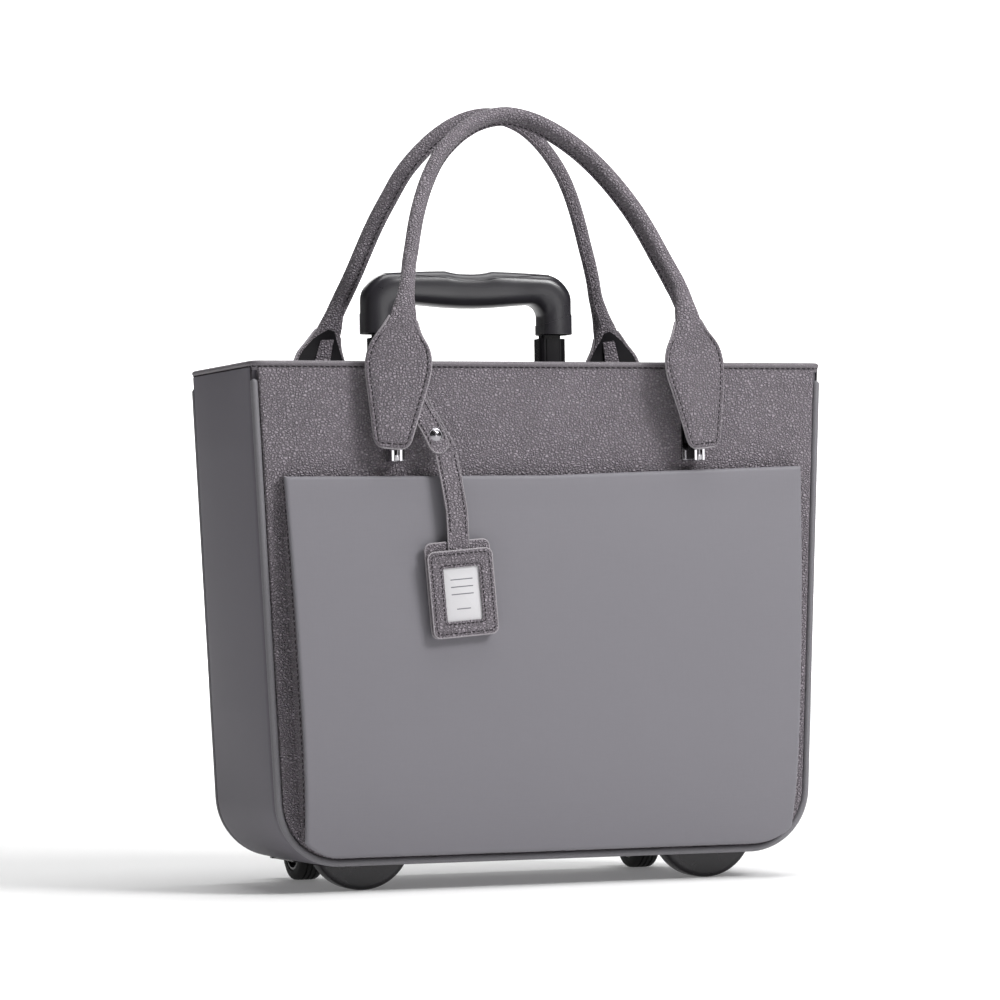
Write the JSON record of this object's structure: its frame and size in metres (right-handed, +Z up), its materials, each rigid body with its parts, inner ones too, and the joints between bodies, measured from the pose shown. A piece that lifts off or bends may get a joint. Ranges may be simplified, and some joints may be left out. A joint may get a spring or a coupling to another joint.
{
  "type": "rolling laptop case",
  "caption": "Tote-shaped rolling laptop case with a padded front pocket, tote handles, a telescopic trolley, wheels and feet, a zipped top and a hang tag.",
  "frame": {"origin": "middle of the case's footprint, on the floor it stands on", "axes": "+Z up, +X to the right as seen from the front, +Y towards the rear, where the trolley is"},
  "size_m": [0.4198, 0.2102, 0.5473],
  "materials": {
    "grained_leather": "pebbled, semi-matt",
    "satin_shell": "smooth satin",
    "lining": "plain weave",
    "board": "matt",
    "black_plastic": "fine satin",
    "black_tube": "gloss black",
    "gunmetal": "dark polished",
    "steel": "bright",
    "tyre_rubber": "matt",
    "card": "smooth"
  },
  "bodies": {
    "bag": {"front_panel": "grained_leather", "rear_panel": "satin_shell", "gusset": "satin_shell", "front_piping": "satin_shell", "rear_piping_left": "satin_shell", "rear_piping_right": "satin_shell", "rim_binding": "grained_leather", "pocket_panel": "satin_shell", "pocket_gusset": "grained_leather", "base_board": "board", "back_board": "board", "laptop_sleeve": "lining", "trolley_cover": "satin_shell", "outer_tube_left": "black_tube", "outer_tube_right": "black_tube", "tube_foot_bracket": "black_plastic", "tube_rim_bracket": "black_plastic", "wheel_housing_left": "black_plastic", "wheel_housing_right": "black_plastic", "wheel_axle_left": "steel", "wheel_axle_right": "steel", "front_foot_left": "black_plastic", "front_foot_right": "black_plastic", "front_handle_bracket_left": "gunmetal", "front_handle_bracket_right": "gunmetal", "rear_handle_bracket_left": "gunmetal", "rear_handle_bracket_right": "gunmetal", "tag_keeper": "gunmetal", "tag_loop": "grained_leather", "tag_snap": "gunmetal"},
    "trolley_middle": {"middle_tube_left": "black_tube", "middle_tube_right": "black_tube"},
    "trolley_grip": {"inner_tube_left": "black_tube", "inner_tube_right": "black_tube", "grip_body": "black_plastic", "grip_cover": "black_plastic", "button_spring": "steel"},
    "button": {"release_button": "black_plastic"},
    "wheel_left": {"wheel_tyre_left": "tyre_rubber", "wheel_hub_left": "black_plastic"},
    "wheel_right": {"wheel_tyre_right": "tyre_rubber", "wheel_hub_right": "black_plastic"},
    "front_handle": {"front_handle_roll": "grained_leather", "front_handle_tab_left": "grained_leather", "front_handle_tab_right": "grained_leather", "front_handle_strap_left": "grained_leather", "front_handle_strap_right": "grained_leather"},
    "rear_handle": {"rear_handle_roll": "grained_leather", "rear_handle_tab_left": "grained_leather", "rear_handle_tab_right": "grained_leather", "rear_handle_strap_left": "grained_leather", "rear_handle_strap_right": "grained_leather"},
    "zip_flap_front": {"zip_flap_front": "lining"},
    "zip_flap_rear": {"zip_flap_rear": "lining"},
    "zip_slider": {"zip_slider": "gunmetal"},
    "zip_puller": {"zip_puller": "gunmetal"},
    "tag": {"tag_strap": "grained_leather", "tag_back": "grained_leather", "tag_card": "card", "tag_front": "grained_leather"}
  },
  "joints": [
    {"name": "trolley_stage1", "type": "slide", "parent": "bag", "child": "trolley_middle", "axis": [0, 0, 1], "range_m": [0, 0.28]},
    {"name": "trolley_stage2", "type": "slide", "parent": "trolley_middle", "child": "trolley_grip", "axis": [0, 0, 1], "range_m": [0, 0.28]},
    {"name": "release_button", "type": "slide", "parent": "trolley_grip", "child": "button", "axis": [0, 0, -1], "range_m": [0, 0.004], "stiffness_N_per_m": 300, "springref_m": -0.001, "deforming": ["button_spring"]},
    {"name": "wheel_left", "type": "hinge", "parent": "bag", "child": "wheel_left", "pos_m": [-0.128, 0.075, 0.024], "axis": [1, 0, 0], "continuous": true},
    {"name": "wheel_right", "type": "hinge", "parent": "bag", "child": "wheel_right", "pos_m": [0.128, 0.075, 0.024], "axis": [1, 0, 0], "continuous": true},
    {"name": "front_handle_swing", "type": "hinge", "parent": "bag", "child": "front_handle", "pos_m": [0, -0.09, 0.2958], "axis": [1, 0, 0], "range_deg": [0, 140]},
    {"name": "rear_handle_swing", "type": "hinge", "parent": "bag", "child": "rear_handle", "pos_m": [0, 0.076, 0.2958], "axis": [-1, 0, 0], "range_deg": [0, 140]},
    {"name": "zip_flap_front_fold", "type": "hinge", "parent": "bag", "child": "zip_flap_front", "pos_m": [0, -0.071, 0.3425], "axis": [-1, 0, 0], "range_deg": [0, 75]},
    {"name": "zip_flap_rear_fold", "type": "hinge", "parent": "bag", "child": "zip_flap_rear", "pos_m": [0, 0.057, 0.3425], "axis": [1, 0, 0], "range_deg": [0, 75]},
    {"name": "zip_slider_run", "type": "slide", "parent": "zip_flap_rear", "child": "zip_slider", "axis": [1, 0, 0], "range_m": [0, 0.35]},
    {"name": "zip_puller_lift", "type": "hinge", "parent": "zip_slider", "child": "zip_puller", "pos_m": [-0.178, 0.0005, 0.3468], "axis": [0, -1, 0], "range_deg": [0, 150]},
    {"name": "tag_swing", "type": "hinge", "parent": "bag", "child": "tag", "pos_m": [-0.0805, -0.0942, 0.299], "axis": [1, 0, 0], "range_deg": [-70, 0]}
  ]
}
